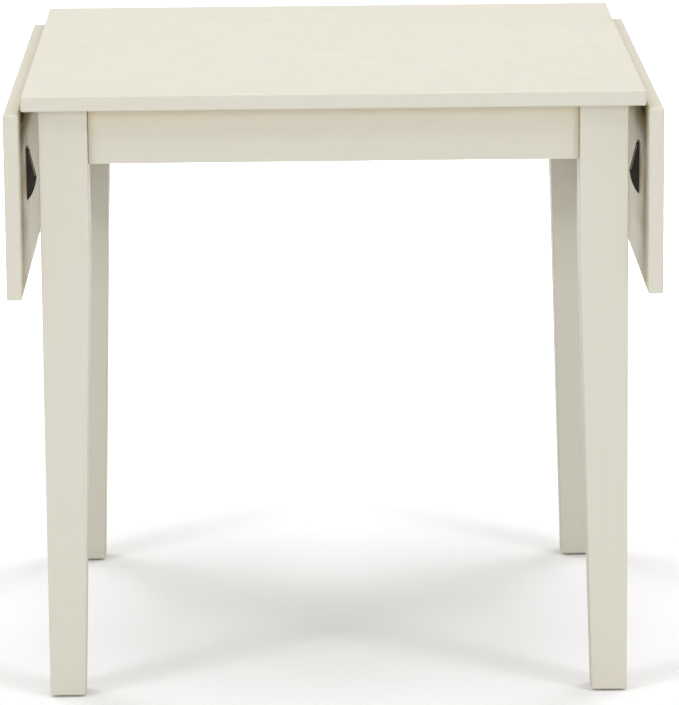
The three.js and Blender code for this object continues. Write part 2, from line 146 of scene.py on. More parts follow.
BLOCK_THICKNESS = 25
BLOCK_CLEAR_OF_LEG = 5
BLOCK_EASE = 0.8
BLOCK_SIDE_SCREW_RADIUS = 3.8
BLOCK_SIDE_SCREWS = (52, 12)    # across and up from the block's middle
BLOCK_TOP_SCREW_RADIUS = 4.2
BLOCK_TOP_SCREWS = 30           # across from its middle
BOLT_RADIUS = 4
BOLT_CLEARANCE = 0.4
BOLT_CHAMFER = 0.4
BOLT_IN_LEG = 34
BOLT_PAST_NUT = 4
NUT_RADIUS = 7.5
NUT_HEIGHT = 6.5
NUT_CROWN = (1.0, 0.9)      # taken off the nut's corners: inward, and along the bolt
WASHER_RADIUS = 9
WASHER_THICKNESS = 1.6
WASHER_EASE = 0.3
THREAD_PITCH = 1.25
THREAD_DEPTH = 0.6
FIT_GAP = 0.3               # between fittings that touch on the real table

GLIDE_RADIUS = 11
GLIDE_HEIGHT = 2
GLIDE_RIM = ((0.8, 0.0), (0.25, 0.2), (0.0, 0.8))    # its round at the floor: inset, height
GLIDE_EASE = 0.3            # taken off the arris at the leg

SMALL_EASE = 0.35           # taken off the arrises of steel fittings
CUT_LENGTH = 60             # long enough to pass through any fitting
JOIN_CLEAR = 0.05           # keeps the faces of two solids to be joined off one another
JOIN_DEPTH = 0.2            # how far a joined solid starts inside its neighbour
SAME_PLACE = 1e-4           # points nearer than this lie in one place
SHARP_ANGLE = 0.3           # in radians: faces that turn more than this meet in an arris


# ---- places, in millimetres --------------------------------------------------------------

def node_box(node):
    low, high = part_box(node)
    return low / METRES_PER_MM, high / METRES_PER_MM


def joint_place(name):
    found = next(joint for joint in frame["joints"] if joint["name"] == name)
    return Vector(found["pos_m"]) / METRES_PER_MM


def axes_at(origin, x_axis, y_axis, z_axis):
    """A matrix that takes a fitting's own axes to the given ones, around the given origin."""
    place = Matrix((x_axis, y_axis, z_axis)).transposed().to_4x4()
    place.translation = origin
    return place


def leaf_axes(side, y, y_sign=1):
    """X runs down the hanging leaf from its hinge line, Z points out through the leaf."""
    hinge = joint_place(f"{side}_leaf_hinge")
    return axes_at((hinge.x, y, hinge.z), (0, 0, -1), (0, y_sign, 0), (SIDES[side], 0, 0))


# ---- meshes ------------------------------------------------------------------------------

def outward(bm):
    """Turns all the faces of one closed solid outward."""
    bmesh.ops.recalc_face_normals(bm, faces=bm.faces)
    if bm.calc_volume(signed=True) < 0:
        bmesh.ops.reverse_faces(bm, faces=bm.faces)
    return bm


def skin_rings(rings):
    """A closed solid through rings of equally many points."""
    bm = bmesh.new()
    rows = [[bm.verts.new(point) for point in ring] for ring in rings]
    count = len(rows[0])
    for lower, upper in zip(rows, rows[1:]):
        for i in range(count):
            j = (i + 1) % count
            bm.faces.new((lower[i], lower[j], upper[j], upper[i]))
    bm.faces.new(reversed(rows[0]))
    bm.faces.new(rows[-1])
    return outward(bm)


def box_solid(low, high):
    xs, ys = (low[0], high[0]), (low[1], high[1])
    ring = ((xs[0], ys[0]), (xs[1], ys[0]), (xs[1], ys[1]), (xs[0], ys[1]))
    return skin_rings([[(x, y, z) for x, y in ring] for z in (low[2], high[2])])


def lathe(profile, segments=32):
    """A solid turned around Z through (radius, height) pairs, with flat ends."""
    angles = [2 * math.pi * i / segments for i in range(segments)]
    return skin_rings([
        [(radius * math.cos(angle), radius * math.sin(angle), height) for angle in angles]
        for radius, height in profile
    ])


def eased_disc(radius, low, high, inward, along):
    """The profile of a disc whose two rims are eased, for the lathe."""
    face = radius - inward
    return ((face, low), (radius, low + along), (radius, high - along), (face, high))


def arc(centre, radius, start_deg, end_deg, steps):
    """Points along a round, from one angle to the other."""
    angles = [math.radians(start_deg + (end_deg - start_deg) * i / steps) for i in range(steps + 1)]
    return [(centre[0] + radius * math.cos(a), centre[1] + radius * math.sin(a)) for a in angles]


def plate_across_y(outline, from_y, to_y):
    """A plate whose outline is drawn in X and Z."""
    return skin_rings([[(x, y, z) for x, z in outline] for y in (from_y, to_y)])


def plate_across_x(outline, from_x, to_x):
    """A plate whose outline is drawn in Y and Z."""
    return skin_rings([[(x, y, z) for y, z in outline] for x in (from_x, to_x)])


def plate_across_z(outline, from_z, to_z):
    """A plate whose outline is drawn in X and Y."""
    return skin_rings([[(x, y, z) for x, y in outline] for z in (from_z, to_z)])


def rounded_rectangle(low, high, radius, steps=5):
    left, right = low[0] + radius, high[0] - radius
    near, far = low[1] + radius, high[1] - radius
    corners = (((right, far), 0), ((left, far), 90), ((left, near), 180), ((right, near), 270))
    return [point for centre, start in corners
            for point in arc(centre, radius, start, start + 90, steps)]


def round_bar(start, end, width, steps=14):
    """The outline of a bar with round ends, between two points."""
    along = math.degrees(math.atan2(end[1] - start[1], end[0] - start[0]))
    return (arc(start, width / 2, along + 90, along + 270, steps)
            + arc(end, width / 2, along - 90, along + 90, steps))


def bevel(bm, edges, radius, segments):
    bmesh.ops.bevel(bm, geom=list(edges), offset=radius, segments=segments, profile=0.5,
                    affect="EDGES", clamp_overlap=True)
    return bm


def on_level(edge, axis, level):
    return all(abs(vert.co[axis] - level) < SAME_PLACE for vert in edge.verts)


def ease_faces(bm, axis, levels, radius=SMALL_EASE, segments=2):
    """Takes the arrises off the faces that lie on the given levels of an axis."""
    edges = [edge for edge in bm.edges
             if any(on_level(edge, axis, level) for level in levels)
             and edge.calc_face_angle(0) > SHARP_ANGLE]
    return bevel(bm, edges, radius, segments)


def moved(bm, place):
    bm.transform(place)
    if place.determinant() < 0:
        bmesh.ops.reverse_faces(bm, faces=bm.faces)
    return bm


def gathered(*parts):
    """Several separate solids as one mesh."""
    whole = bmesh.new()
    for part in parts:
        holder = bpy.data.meshes.new("holder")
        part.to_mesh(holder)
        part.free()
        whole.from_mesh(holder)
        bpy.data.meshes.remove(holder)
    return whole


def boolean(base, other, operation):
    """Joins, cuts or crosses one solid with another."""
    holders = []
    for part in (base, other):
        mesh = bpy.data.meshes.new("holder")
        part.to_mesh(mesh)
        part.free()
        holder = bpy.data.objects.new("holder", mesh)
        bpy.context.scene.collection.objects.link(holder)
        holders.append(holder)
    modifier = holders[0].modifiers.new("boolean", "BOOLEAN")
    modifier.operation = operation
    modifier.solver = "MANIFOLD"
    modifier.object = holders[1]
    result = bmesh.new()
    result.from_object(holders[0], bpy.context.evaluated_depsgraph_get())
    for holder in holders:
        bpy.data.meshes.remove(holder.data)
    bmesh.ops.remove_doubles(result, verts=result.verts, dist=SAME_PLACE)
    return result


def join(base, *others):
    for other in others:
        base = boolean(base, other, "UNION")
    return base


def cut(base, tool):
    return boolean(base, tool, "DIFFERENCE")


def pattern(bm):
    """Keeps a drawn fitting as a mesh, to be copied to its places."""
    mesh = bpy.data.meshes.new("pattern")
    bm.to_mesh(mesh)
    bm.free()
    return mesh


def copied(mesh, place):
    bm = bmesh.new()
    bm.from_mesh(mesh)
    return moved(bm, place)


def make_piece(name, bm, finish, body, node=None):
    """Turns a solid drawn in millimetres into a piece that rides on a body."""
    material, slot = finish
    bm.transform(Matrix.Scale(METRES_PER_MM, 4))
    mesh = bpy.data.meshes.new(name)
    bm.to_mesh(mesh)
    bm.free()
    mesh.polygons.foreach_set("use_smooth", [True] * len(mesh.polygons))
    mesh.set_sharp_from_angle(angle=math.radians(SMOOTH_DEG))
    mesh.materials.append(material)
    piece = bpy.data.objects.new(name, mesh)
    bpy.context.scene.collection.objects.link(piece)
    piece.modifiers.new("flat faces", "WEIGHTED_NORMAL").keep_sharp = True
    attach(piece, body)
    if node:
        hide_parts(node)


def remake(node, bm, finish, body="frame"):
    """A finer piece in the place of one CAD node."""
    make_piece(f"fine_{node}", bm, finish, body, node)


# ---- materials ---------------------------------------------------------------------------

class Nodes:
    """A material's node tree, with short calls for the nodes that this script uses."""

    def __init__(self, name):
        self.material = bpy.data.materials.new(name)
        self.material.use_nodes = True
        self.tree = self.material.node_tree
        self.shader = self.tree.nodes["Principled BSDF"]
        self.place = self.tree.nodes.new("ShaderNodeTexCoord").outputs["Object"]

    def link(self, source, target):
        self.tree.links.new(source, target)

    def paint(self, **sockets):
        for name, source in sockets.items():
            self.link(source, self.shader.inputs[name.replace("_", " ")])

    def stretched(self, stretch):
        mapping = self.tree.nodes.new("ShaderNodeMapping")
        mapping.inputs["Scale"].default_value = stretch
        self.link(self.place, mapping.inputs["Vector"])
        return mapping.outputs["Vector"]

    def noise(self, scale, detail=3.0, roughness=0.5, stretch=(1, 1, 1)):
        node = self.tree.nodes.new("ShaderNodeTexNoise")
        node.inputs["Scale"].default_value = scale
        node.inputs["Detail"].default_value = detail
        node.inputs["Roughness"].default_value = roughness
        self.link(self.stretched(stretch), node.inputs["Vector"])
        return node.outputs["Fac"]

    def rescale(self, value, low, high, from_low=0.3, from_high=0.7):
        node = self.tree.nodes.new("ShaderNodeMapRange")
        node.inputs["From Min"].default_value = from_low
        node.inputs["From Max"].default_value = from_high
        node.inputs["To Min"].default_value = low
        node.inputs["To Max"].default_value = high
        self.link(value, node.inputs["Value"])
        return node.outputs["Result"]

    def multiply(self, a, b):
        node = self.tree.nodes.new("ShaderNodeMath")
        node.operation = "MULTIPLY"
        self.link(a, node.inputs[0])
        self.link(b, node.inputs[1])
        return node.outputs["Value"]

    def mix(self, factor, a, b):
        node = self.tree.nodes.new("ShaderNodeMix")
        node.data_type = "RGBA"
        self.link(factor, node.inputs["Factor"])
        for socket, value in ((node.inputs["A"], a), (node.inputs["B"], b)):
            if isinstance(value, tuple):
                socket.default_value = (*value, 1)
            else:
                self.link(value, socket)
        return node.outputs["Result"]

    def bump(self, height, strength, distance_mm, normal=None):
        node = self.tree.nodes.new("ShaderNodeBump")
        node.inputs["Strength"].default_value = strength
        node.inputs["Distance"].default_value = distance_mm * METRES_PER_MM
        self.link(height, node.inputs["Height"])
        if normal is not None:
            self.link(normal, node.inputs["Normal"])
        return node.outputs["Normal"]

    def openness(self, reach_mm):
        """1 on open faces, and less where another piece stands close by."""
        node = self.tree.nodes.new("ShaderNodeAmbientOcclusion")
        node.samples = 4
        node.inputs["Distance"].default_value = reach_mm * METRES_PER_MM
        return node.outputs["AO"]

    def edges(self, radius_mm):
        """1 along sharp edges and 0 on flat faces: how far a rounded normal turns from the real one."""
        rounded = self.tree.nodes.new("ShaderNodeBevel")
        rounded.samples = 4
        rounded.inputs["Radius"].default_value = radius_mm * METRES_PER_MM
        geometry = self.tree.nodes.new("ShaderNodeNewGeometry")
        agreement = self.tree.nodes.new("ShaderNodeVectorMath")
        agreement.operation = "DOT_PRODUCT"
        self.link(rounded.outputs["Normal"], agreement.inputs[0])
        self.link(geometry.outputs["Normal"], agreement.inputs[1])
        return self.rescale(agreement.outputs["Value"], 1.0, 0.0, 0.75, 0.98)


CREAM_LIGHT = (0.582, 0.564, 0.492)
CREAM_SHADE = (0.574, 0.556, 0.483)
CREAM_GRAIN = (0.535, 0.512, 0.432)
CREAM_WARM = (0.570, 0.548, 0.463)
CREAM_RUBBED = (0.550, 0.525, 0.440)
CREAM_PAINTED_SHADE = (0.590, 0.490, 0.280)          # painted shade: warmer and darker where the boards face one another
GRAIN_STRETCH = {"X": (0.06, 1, 1), "Y": (1, 0.06, 1), "Z": (1, 1, 0.06)}
PAINTED_SHADE_STRENGTH = {"X": 0.9, "Y": 0.9, "Z": 0.1}     # strength of the painted shade; the legs get little of it down at the floor
PAINTED_SHADE_REACH = 350                               # how far the painted shade reaches, in millimetres


def cream_paint(grain_axis):
    """Satin paint on solid wood: the grain just shows through, edges are a little rubbed, and shade is
    painted in where pieces stand close together.
    """
    n = Nodes(f"cream_paint_{grain_axis.lower()}")
    stretch = GRAIN_STRETCH[grain_axis]
    grain = n.noise(150, detail=5.0, roughness=0.6, stretch=stretch)
    staves = n.noise(14, detail=0.0, stretch=stretch)
    tone = n.mix(n.rescale(n.noise(3.5, detail=2.0), 0, 1), CREAM_SHADE, CREAM_LIGHT)
    tone = n.mix(n.rescale(grain, 0, 0.32), tone, CREAM_GRAIN)
    tone = n.mix(n.rescale(staves, 0, 0.16), tone, CREAM_WARM)
    # painted shade: a warmer, darker tone where other pieces stand close by
    painted_shade = n.rescale(n.openness(PAINTED_SHADE_REACH), PAINTED_SHADE_STRENGTH[grain_axis], 0, 0.2, 0.85)
    tone = n.mix(painted_shade, tone, CREAM_PAINTED_SHADE)
    rubbed = n.multiply(n.edges(2.2), n.rescale(n.noise(60, detail=4.0), 0.05, 0.4))
    brush = n.bump(n.noise(900, detail=2.0), 0.10, 0.05)
    n.paint(
        Base_Color=n.mix(rubbed, tone, CREAM_RUBBED),
        Roughness=n.rescale(n.noise(40, detail=4.0), 0.42, 0.58),
        Normal=n.bump(grain, 0.35, 0.08, brush),
    )
    n.shader.inputs["Specular IOR Level"].default_value = 0.10
    return n.material


WOOD_EARLY = (0.62, 0.44, 0.26)
WOOD_LATE = (0.50, 0.33, 0.17)
WOOD_PORES = (0.36, 0.22, 0.11)


def bare_wood():
    """Planed, unpainted softwood with its rings along the block."""
    n = Nodes("bare_wood")
    rings = n.tree.nodes.new("ShaderNodeTexWave")
    rings.wave_type = "RINGS"
    rings.inputs["Scale"].default_value = 28
    rings.inputs["Distortion"].default_value = 5.0
    rings.inputs["Detail"].default_value = 3.0
    n.link(n.stretched((1, 1, 0.25)), rings.inputs["Vector"])
    pores = n.noise(500, detail=4.0, stretch=(1, 1, 0.2))
    tone = n.mix(n.rescale(rings.outputs["Fac"], 0, 1, 0.0, 1.0), WOOD_EARLY, WOOD_LATE)
    n.paint(
        Base_Color=n.mix(n.rescale(pores, 0, 0.35), tone, WOOD_PORES),
        Roughness=n.rescale(pores, 0.6, 0.8),
        Normal=n.bump(pores, 0.3, 0.15),
    )
    return n.material


def metal(name, colour, worn_and_sheen, roughness, metallic, wear_and_sheen):
    """Coated or plated steel: fine speckle in the coat, paler where edges rub; on the black steel the
    pale edges are also a painted highlight.
    """
    n = Nodes(name)
    stains = n.noise(90, detail=4.0)
    shade = tuple(0.7 * part for part in colour)
    # paler edges: wear, and on the black steel also a painted highlight
    worn_and_sheen_edges = n.multiply(n.edges(0.7), n.rescale(n.noise(260, detail=5.0), 0, wear_and_sheen))
    n.paint(
        Base_Color=n.mix(worn_and_sheen_edges, n.mix(n.rescale(stains, 0, 1), shade, colour), worn_and_sheen),
        Roughness=n.rescale(stains, roughness - 0.08, roughness + 0.12),
        Normal=n.bump(n.noise(1500), 0.25, 0.04),
    )
    n.shader.inputs["Metallic"].default_value = metallic
    return n.material


PLASTIC_SHADE = (0.24, 0.23, 0.21)
PLASTIC_LIGHT = (0.32, 0.31, 0.29)


def glide_plastic():
    n = Nodes("glide_plastic")
    mottle = n.noise(300)
    n.paint(
        Base_Color=n.mix(n.rescale(mottle, 0, 1), PLASTIC_SHADE, PLASTIC_LIGHT),
        Roughness=n.rescale(mottle, 0.5, 0.7),
        Normal=n.bump(n.noise(1200), 0.2, 0.05),
    )
    return n.material


# A finish is a material and the name of its slot.
PAINT = {axis: (cream_paint(axis), "painted_wood") for axis in "XYZ"}
BARE_WOOD = (bare_wood(), "bare_wood")
# its pale edge colour is partly a painted highlight along the edges
BLACK_STEEL = (metal("black_steel", colour=(0.016, 0.012, 0.006), worn_and_sheen=(0.20, 0.17, 0.13),
                     roughness=0.50, metallic=0.0, wear_and_sheen=0.9), "black_steel")
HINGE_STEEL = (metal("hinge_steel", colour=(0.115, 0.092, 0.058), worn_and_sheen=(0.32, 0.27, 0.19),
                     roughness=0.40, metallic=0.5, wear_and_sheen=0.6), "hinge_steel")
# painted highlight: this pale steel on the catch's bead stands in for the sheen along its slope
HIGHLIGHT_STEEL = (metal("highlight_steel", colour=(0.34, 0.31, 0.25), worn_and_sheen=(0.50, 0.47, 0.41),
                      roughness=0.45, metallic=0.5, wear_and_sheen=0.5), "zinc_steel")
ZINC_STEEL = (metal("zinc_steel", colour=(0.56, 0.56, 0.54), worn_and_sheen=(0.75, 0.75, 0.73),
                    roughness=0.30, metallic=1.0, wear_and_sheen=0.6), "zinc_steel")
GLIDE_PLASTIC = (glide_plastic(), "glide_plastic")


# ---- screws ------------------------------------------------------------------------------

def cross_recess(width, length, depth, top):
    """A cross-shaped cutter, open above."""
    bars = [box_solid((-x, -y, top - depth), (x, y, top + depth))
            for x, y in ((length / 2, width / 2), (width / 2, length / 2))]
    return join(*bars)


def flat_screw():
    """A countersunk head of radius 1 at Z 0, a little crowned, with a cross recess."""
    top = 0.14
    cone = ((0.35, -0.75), (1.0, -0.10), (1.0, 0.0))
    crown = ((0.80, 0.07), (0.45, 0.12), (0.12, top))
    return pattern(cut(lathe(cone + crown, segments=24), cross_recess(0.26, 1.25, 0.35, top)))


def pan_screw():
    """A round-topped head of radius 1 standing on Z 0, with a cross recess."""
    top = 0.64
    rim = ((0.94, -0.02), (1.0, 0.10), (0.97, 0.28))
    dome = ((0.82, 0.48), (0.55, 0.60), (0.15, top))
    return pattern(cut(lathe(rim + dome, segments=24), cross_recess(0.28, 1.15, 0.40, top)))


FLAT_SCREW = flat_screw()
PAN_SCREW = pan_screw()


def facing(at, direction, radius, spin_deg):
    """A place for a screw: its head faces one way, and its recess is turned by some angle."""
    turn = Vector(direction).to_track_quat("Z", "Y").to_matrix().to_4x4()
    spin = Matrix.Rotation(math.radians(spin_deg), 4, "Z")
    return Matrix.Translation(at) @ turn @ spin @ Matrix.Scale(radius, 4)


def make_screws(name, screw, spots, place, finish, body):
    """One piece for the screws of one fitting; spots are (at, direction, radius) in its axes."""
    heads = []
    for number, (at, direction, radius) in enumerate(spots):
        spin_deg = (37 * number + 11 * len(name)) % 90      # no two recesses lie the same way
        heads.append(copied(screw, place @ facing(at, direction, radius, spin_deg)))
    make_piece(name, gathered(*heads), finish, body)


# ---- boards ------------------------------------------------------------------------------

def eased_board(low, high, thin_axis, ease, corner):
    """A board with its four short corners rounded, and then the edges around both faces."""
    bm = box_solid(low, high)
    short = [edge for edge in bm.edges
             if abs(edge.verts[0].co[thin_axis] - edge.verts[1].co[thin_axis]) > SAME_PLACE]
    bevel(bm, short, corner, segments=4)
    return ease_faces(bm, thin_axis, (low[thin_axis], high[thin_axis]), ease, segments=5)


def make_boards():
    low, high = node_box("tabletop")
    board = eased_board(low, high, 2, BOARD_EASE, BOARD_CORNER)
    remake("tabletop", board, PAINT["Y"])
    for side in SIDES:
        low, high = node_box(f"leaf_{side}")
        board = eased_board(low, high, 0, BOARD_EASE, BOARD_CORNER)
        remake(f"leaf_{side}", board, PAINT["Y"], f"{side}_leaf")


def make_aprons():
    for places, thin_axis, grain in ((ENDS, 1, "X"), (SIDES, 0, "Y")):
        for place in places:
            low, high = node_box(f"apron_{place}")
            board = eased_board(low, high, thin_axis, APRON_EASE, APRON_EASE)
            remake(f"apron_{place}", board, PAINT[grain])


# ---- legs and feet -----------------------------------------------------------------------

def make_leg(corner, side_sign, end_sign):
    """A square post whose two inner faces taper; the section is measured back from its outer edge."""
    low, high = node_box(f"leg_{corner}")
    edge_x = high.x if side_sign > 0 else low.x
    edge_y = high.y if end_sign > 0 else low.y
    size = high.x - low.x
    levels = (
        (low.z, LEG_FOOT_SIZE, LEG_FOOT_CHAMFER),
        (low.z + LEG_FOOT_CHAMFER, LEG_FOOT_SIZE, 0),
        (LEG_TAPER_START, size, 0),
        (high.z - LEG_TOP_EASE, size, 0),
        (high.z, size, LEG_TOP_EASE),
    )
    rings = []
    for z, width, inset in levels:
        inner = inset - width
        section = rounded_rectangle((inner, inner), (-inset, -inset), LEG_CORNER_RADIUS)
        rings.append([(edge_x + side_sign * x, edge_y + end_sign * y, z) for x, y in section])
    remake(f"leg_{corner}", skin_rings(rings), PAINT["Z"])


def glide_pattern():
    """A flat disc whose rim is rounded towards the floor."""
    centre = 1.0
    rim = [(GLIDE_RADIUS - inset, height) for inset, height in GLIDE_RIM]
    top = [(GLIDE_RADIUS, GLIDE_HEIGHT - GLIDE_EASE), (GLIDE_RADIUS - GLIDE_EASE, GLIDE_HEIGHT)]
    return pattern(lathe([(centre, 0)] + rim + top + [(centre, GLIDE_HEIGHT)]))


def make_glide(corner, glide):
    low, high = node_box(f"foot_glide_{corner}")
    place = Matrix.Translation(((low.x + high.x) / 2, (low.y + high.y) / 2, low.z))
    remake(f"foot_glide_{corner}", copied(glide, place), GLIDE_PLASTIC)


# ---- corner blocks and their bolts -------------------------------------------------------

def bolt_axes(corner, side_sign, end_sign):
    """Around the leg's inner edge: X points out through the leg, Z stays up."""
    leg_low, leg_high = node_box(f"leg_{corner}")
    block_low, block_high = node_box(f"corner_block_{corner}")
    origin = (
        leg_low.x if side_sign > 0 else leg_high.x,
        leg_low.y if end_sign > 0 else leg_high.y,
        (block_low.z + block_high.z) / 2,
    )
    through_leg = Vector((side_sign, end_sign, 0)).normalized()
    across = Vector((-end_sign, side_sign, 0)).normalized()
    return axes_at(origin, through_leg, across, (0, 0, 1))


def make_corner_block(corner, side_sign, end_sign):
    low, high = node_box(f"corner_block_{corner}")
    place = bolt_axes(corner, side_sign, end_sign)
    wall_x = max(abs(low.x), abs(high.x))
    wall_y = max(abs(low.y), abs(high.y))
    leg_corner = abs(place.translation.x) + abs(place.translation.y)
    outer = leg_corner - BLOCK_CLEAR_OF_LEG * math.sqrt(2)
    inner = outer - BLOCK_THICKNESS * math.sqrt(2)
    plan = ((wall_x, outer - wall_x), (outer - wall_y, wall_y),
            (inner - wall_y, wall_y), (wall_x, inner - wall_x))
    block = plate_across_z([(side_sign * x, end_sign * y) for x, y in plan], low.z, high.z)
    bevel(block, block.edges, BLOCK_EASE, segments=2)
    hole_radius = BOLT_RADIUS + BOLT_CLEARANCE
    hole = moved(lathe(((hole_radius, -CUT_LENGTH), (hole_radius, CUT_LENGTH))),
                 place @ Matrix.Rotation(math.pi / 2, 4, "Y"))
    remake(f"corner_block_{corner}", cut(block, hole), BARE_WOOD)
    make_screws(f"block_screws_{corner}", FLAT_SCREW, block_screw_spots(high.z - low.z), place,
                ZINC_STEEL, "frame")


def block_screw_spots(height):
    """Four through the block's inner face into the aprons, and two up into the top."""
    inner_face = -(BLOCK_CLEAR_OF_LEG + BLOCK_THICKNESS)
    middle = inner_face + BLOCK_THICKNESS / 2
    across, up = BLOCK_SIDE_SCREWS
    spots = [((inner_face, y, z), (-1, 0, 0), BLOCK_SIDE_SCREW_RADIUS)
             for y in (-across, across) for z in (-up, up)]
    return spots + [((middle, y, -height / 2), (0, 0, -1), BLOCK_TOP_SCREW_RADIUS)
                    for y in (-BLOCK_TOP_SCREWS, BLOCK_TOP_SCREWS)]


def bolt_pattern():
    """Along Z, which points out through the leg: a rod threaded at its inner end, washer and nut."""
    block_face = -(BLOCK_CLEAR_OF_LEG + BLOCK_THICKNESS + FIT_GAP)
    nut_face = block_face - WASHER_THICKNESS
    rod_end = nut_face - NUT_HEIGHT - BOLT_PAST_NUT
    root = BOLT_RADIUS - THREAD_DEPTH
    turns = round((block_face - rod_end) / THREAD_PITCH)
    thread = [(root - BOLT_CHAMFER, rod_end)]
    for turn in range(turns):
        thread.append((root, rod_end + (turn + 0.25) * THREAD_PITCH))
        thread.append((BOLT_RADIUS, rod_end + (turn + 0.75) * THREAD_PITCH))
    shank = [(BOLT_RADIUS, block_face + THREAD_PITCH), (BOLT_RADIUS, BOLT_IN_LEG)]
    rod = lathe(thread + shank, segments=24)
    washer = lathe(eased_disc(WASHER_RADIUS, nut_face, block_face, WASHER_EASE, WASHER_EASE))
    hexagon = lathe(((NUT_RADIUS, nut_face - NUT_HEIGHT), (NUT_RADIUS, nut_face)), segments=6)
    crown = lathe(eased_disc(NUT_RADIUS, nut_face - NUT_HEIGHT, nut_face, *NUT_CROWN), segments=48)
    return pattern(gathered(rod, washer, boolean(hexagon, crown, "INTERSECT")))


def make_leg_bolt(corner, side_sign, end_sign, bolt):
    place = bolt_axes(corner, side_sign, end_sign) @ Matrix.Rotation(math.pi / 2, 4, "Y")
    remake(f"leg_bolt_{corner}", copied(bolt, place), ZINC_STEEL)


# ---- hinges ------------------------------------------------------------------------------

def flap_outline(length, reach, first_knuckle):
    """In X and Y: rounded at the far corners, with a tongue for each knuckle at the pin's side."""
    pitch = length / HINGE_KNUCKLES
    clear = KNUCKLE_RADIUS + HINGE_AIR
    far = arc((reach - HINGE_CORNER, length / 2 - HINGE_CORNER), HINGE_CORNER, 90, 0, 5)
    outline = [(clear, length / 2)] + far + [(x, -y) for x, y in reversed(far)] + [(clear, -length / 2)]
    for knuckle in range(first_knuckle, HINGE_KNUCKLES, 2):
        start = -length / 2 + knuckle * pitch + HINGE_AIR / 2
        end = start + pitch - HINGE_AIR
        outline += [(clear, start), (0, start), (0, end), (clear, end)]
    return outline


def flap_pattern(length, reach, first_knuckle):
    """A flap around its pin: X runs along the sheet from the pin, and the wood is on its +Z side."""
    sheet_face = KNUCKLE_RADIUS - HINGE_SHEET
    bm = plate_across_z(flap_outline(length, reach, first_knuckle), sheet_face, KNUCKLE_RADIUS)
    turn = Matrix.Rotation(-math.radians(KNUCKLE_ROLL_DEG / KNUCKLE_ROLL_STEPS), 4, "Y")
    tongue_ends = [face for face in bm.faces
                   if all(abs(vert.co.x) < SAME_PLACE for vert in face.verts)]
    for face in tongue_ends:
        for _ in range(KNUCKLE_ROLL_STEPS):
            face = bmesh.ops.extrude_discrete_faces(bm, faces=[face])["faces"][0]
            bmesh.ops.transform(bm, matrix=turn, verts=face.verts)
    upside_down = Matrix.Rotation(math.pi, 4, "X")
    sinks = [moved(lathe(HINGE_SINK, segments=24),
                   Matrix.Translation((*spot, sheet_face)) @ upside_down)
             for spot in flap_screw_spots(length)]
    return pattern(cut(outward(bm), gathered(*sinks)))


def flap_screw_spots(length):
    from_middle = length / 2 - HINGE_SCREW_FROM_END
    return [(HINGE_SCREW_REACH, y) for y in (-from_middle, 0, from_middle)]


def pin_pattern(length):
    half = length / 2
    chamfer = HINGE_PIN_RADIUS - HINGE_PIN_TIP
    profile = eased_disc(HINGE_PIN_RADIUS, -half, half, chamfer, HINGE_PIN_CHAMFER)
    return pattern(lathe(profile, segments=20))


def make_hinges():
    low, high = node_box("hinge_pin_left_front")
    length = high.y - low.y
    flap_low, flap_high = node_box("hinge_top_flap_left_front")
    reach = flap_high.x - joint_place("left_leaf_hinge").x
    top_flap, leaf_flap = (flap_pattern(length, reach, first) for first in (0, 1))
    pin = pin_pattern(length)
    sheet_face = KNUCKLE_RADIUS - HINGE_SHEET
    spots = [((x, y, sheet_face), (0, 0, -1), HINGE_SCREW_RADIUS)
             for x, y in flap_screw_spots(length)]
    for side, side_sign in SIDES.items():
        hinge = joint_place(f"{side}_leaf_hinge")
        for where in HINGE_PLACES:
            low, high = node_box(f"hinge_pin_{side}_{where}")
            y = (low.y + high.y) / 2
            name = f"{side}_{where}"
            under_top = axes_at((hinge.x, y, hinge.z), (-side_sign, 0, 0), (0, 1, 0), (0, 0, 1))
            on_leaf = leaf_axes(side, y)
            along_pin = axes_at((hinge.x, y, hinge.z), (1, 0, 0), (0, 0, -1), (0, 1, 0))
            remake(f"hinge_top_flap_{name}", copied(top_flap, under_top), HINGE_STEEL)
            remake(f"hinge_pin_{name}", copied(pin, along_pin), HINGE_STEEL)
            remake(f"hinge_leaf_flap_{name}", copied(leaf_flap, on_leaf), HINGE_STEEL, f"{side}_leaf")
            make_screws(f"hinge_top_screws_{name}", FLAT_SCREW, spots, under_top, HINGE_STEEL, "frame")
            make_screws(f"hinge_leaf_screws_{name}", FLAT_SCREW, spots, on_leaf, HINGE_STEEL,
                        f"{side}_leaf")


# ---- leaf supports -----------------------------------------------------------------------
# In the axes of a support, Y points inward, from the catch's web towards the table's middle.

def catch_web_outline():
    """In the leaf's X and Z: a straight slope, a peak, and a rounded outer edge."""
    base = KNUCKLE_RADIUS
    peak = Vector((CATCH_PEAK, -CATCH_DEPTH))
    handle = Vector((CATCH_END - 2 * CATCH_BULGE, -CATCH_DEPTH + CATCH_BULGE / 2))
    end = Vector((CATCH_END, base - CATCH_ROOT))
    steps = 12
    curve = []
    for step in range(steps + 1):
        t = step / steps
        curve.append(tuple((1 - t) ** 2 * peak + 2 * t * (1 - t) * handle + t ** 2 * end))
    return [(CATCH_START, base), (CATCH_START, base - CATCH_SHOULDER)] + curve + [(CATCH_END, base)]


